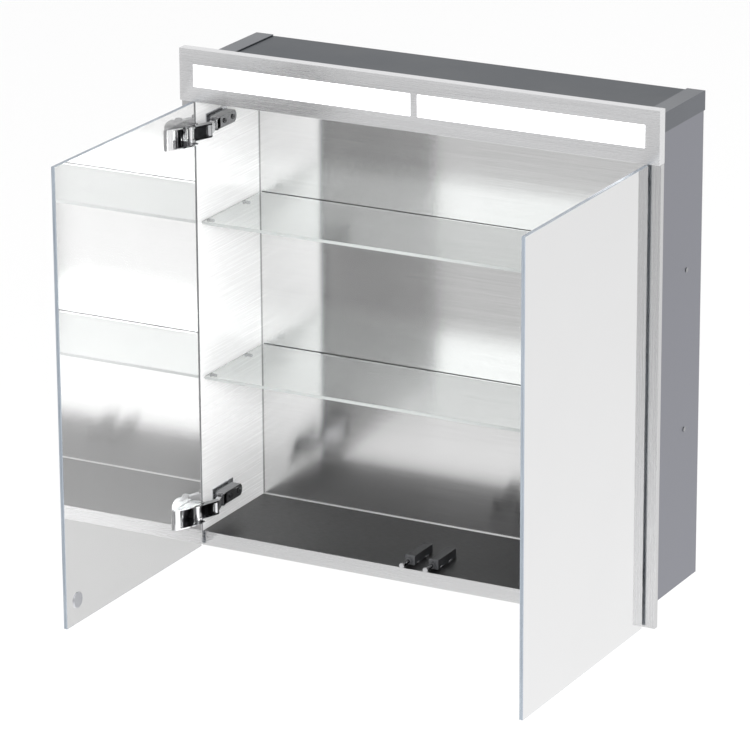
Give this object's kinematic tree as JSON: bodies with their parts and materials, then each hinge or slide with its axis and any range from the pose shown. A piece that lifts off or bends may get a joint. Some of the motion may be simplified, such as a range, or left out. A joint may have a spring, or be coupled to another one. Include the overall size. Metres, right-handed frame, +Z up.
{
  "type": "medicine cabinet with mirror",
  "caption": "Built-in double-door mirror cabinet with a lit top panel, glass shelves, linkage hinges on mirrored doors and push latches.",
  "frame": {"origin": "centre of the flat back face of the box", "axes": "+X to the right seen from the front, +Y back towards the wall, +Z up"},
  "size_m": [0.8, 0.6005, 0.8],
  "materials": {
    "inner_steel": "brushed, grain running across",
    "side_steel": "brushed inside, plain mill finish outside",
    "floor_steel": "brushed, grain running across",
    "top_steel": "plain mill finish",
    "angle_steel": "plain mill finish",
    "frame_steel": "brushed, grain running up",
    "rail_steel": "brushed, grain running across",
    "fascia_steel": "brushed, grain running across",
    "lit_window": "opal plastic, lit from behind",
    "white_tray": "white powder coat",
    "led_board": "white circuit board",
    "led_chip": "lit chip",
    "driver_case": "plain moulded case",
    "terminal_plastic": "plain moulded block",
    "black_rubber": "matt",
    "shelf_glass": "clear, polished edges",
    "pin_steel": "turned",
    "plate_steel": "nickel plated",
    "hinge_chrome": "polished chrome plate",
    "screw_steel": "zinc plated",
    "link_steel": "polished plate",
    "glue_pad": "grey adhesive pad",
    "outer_mirror": "mirror glass, polished edges",
    "inner_mirror": "mirror glass, polished edges",
    "keeper_steel": "plain disc",
    "latch_body": "dark satin",
    "latch_clip": "moulded clip",
    "plunger_steel": "turned",
    "tip_metal": "polished"
  },
  "bodies": {
    "cabinet": {"back_panel": "inner_steel", "side_left": "side_steel", "side_right": "side_steel", "floor_panel": "floor_steel", "top_panel": "top_steel", "ceiling_panel": "inner_steel", "corner_angle_left": "angle_steel", "corner_angle_right": "angle_steel", "stile_left": "frame_steel", "stile_right": "frame_steel", "bottom_rail": "rail_steel", "fascia": "fascia_steel", "diffuser_left": "lit_window", "diffuser_right": "lit_window", "light_tray": "white_tray", "led_boards": "led_board", "led_chips": "led_chip", "led_driver": "driver_case", "terminal_block": "terminal_plastic", "cable_grommet": "black_rubber", "shelf_upper": "shelf_glass", "shelf_lower": "shelf_glass", "shelf_pins": "pin_steel", "mounting_plates": "plate_steel", "hinge_arms": "hinge_chrome", "arm_screws": "screw_steel", "arm_pins": "pin_steel", "latch_barrels": "latch_body", "latch_clips": "latch_clip"},
    "inner_link_left": {"inner_links_left": "link_steel"},
    "outer_link_left": {"outer_links_left": "hinge_chrome", "link_pins_left": "pin_steel"},
    "door_left": {"front_pane_left": "outer_mirror", "back_pane_left": "inner_mirror", "cups_left": "hinge_chrome", "cup_pins_left": "pin_steel", "glue_pads_left": "glue_pad", "keeper_left": "keeper_steel"},
    "inner_link_right": {"inner_links_right": "link_steel"},
    "outer_link_right": {"outer_links_right": "hinge_chrome", "link_pins_right": "pin_steel"},
    "door_right": {"front_pane_right": "outer_mirror", "back_pane_right": "inner_mirror", "cups_right": "hinge_chrome", "cup_pins_right": "pin_steel", "glue_pads_right": "glue_pad", "keeper_right": "keeper_steel"},
    "latch_left": {"plunger_left": "plunger_steel", "latch_tip_left": "tip_metal"},
    "latch_right": {"plunger_right": "plunger_steel", "latch_tip_right": "tip_metal"}
  },
  "joints": [
    {"name": "arm_pivot_left", "type": "hinge", "parent": "cabinet", "child": "inner_link_left", "pos_m": [-0.36, -0.168, 0], "axis": [0, 0, 1], "range_deg": [-5.6, 41.6]},
    {"name": "link_pivot_left", "type": "hinge", "parent": "inner_link_left", "child": "outer_link_left", "pos_m": [-0.3492, -0.202, 0], "axis": [0, 0, 1], "range_deg": [-117, 15.7]},
    {"name": "door_pivot_left", "type": "hinge", "parent": "outer_link_left", "child": "door_left", "pos_m": [-0.362, -0.236, 0], "axis": [0, 0, 1], "range_deg": [-22, 165.35]},
    {"name": "arm_pivot_right", "type": "hinge", "parent": "cabinet", "child": "inner_link_right", "pos_m": [0.36, -0.168, 0], "axis": [0, 0, -1], "range_deg": [-5.6, 41.6]},
    {"name": "link_pivot_right", "type": "hinge", "parent": "inner_link_right", "child": "outer_link_right", "pos_m": [0.3492, -0.202, 0], "axis": [0, 0, -1], "range_deg": [-117, 15.7]},
    {"name": "door_pivot_right", "type": "hinge", "parent": "outer_link_right", "child": "door_right", "pos_m": [0.362, -0.236, 0], "axis": [0, 0, -1], "range_deg": [-22, 165.35]},
    {"name": "latch_slide_left", "type": "slide", "parent": "cabinet", "child": "latch_left", "axis": [0, 1, 0], "range_m": [-0.00175, 0.0131]},
    {"name": "latch_slide_right", "type": "slide", "parent": "cabinet", "child": "latch_right", "axis": [0, 1, 0], "range_m": [-0.00175, 0.0131]}
  ],
  "couplings": [
    {"joint": "arm_pivot_left", "follows": "door_pivot_left", "ratio": 0.25125},
    {"joint": "link_pivot_left", "follows": "door_pivot_left", "ratio": -0.70695},
    {"joint": "arm_pivot_right", "follows": "door_pivot_right", "ratio": 0.25125},
    {"joint": "link_pivot_right", "follows": "door_pivot_right", "ratio": -0.70695},
    {"joint": "latch_slide_left", "follows": "door_pivot_left", "m_per_rad": 0.0045047},
    {"joint": "latch_slide_right", "follows": "door_pivot_right", "m_per_rad": 0.0045047}
  ]
}
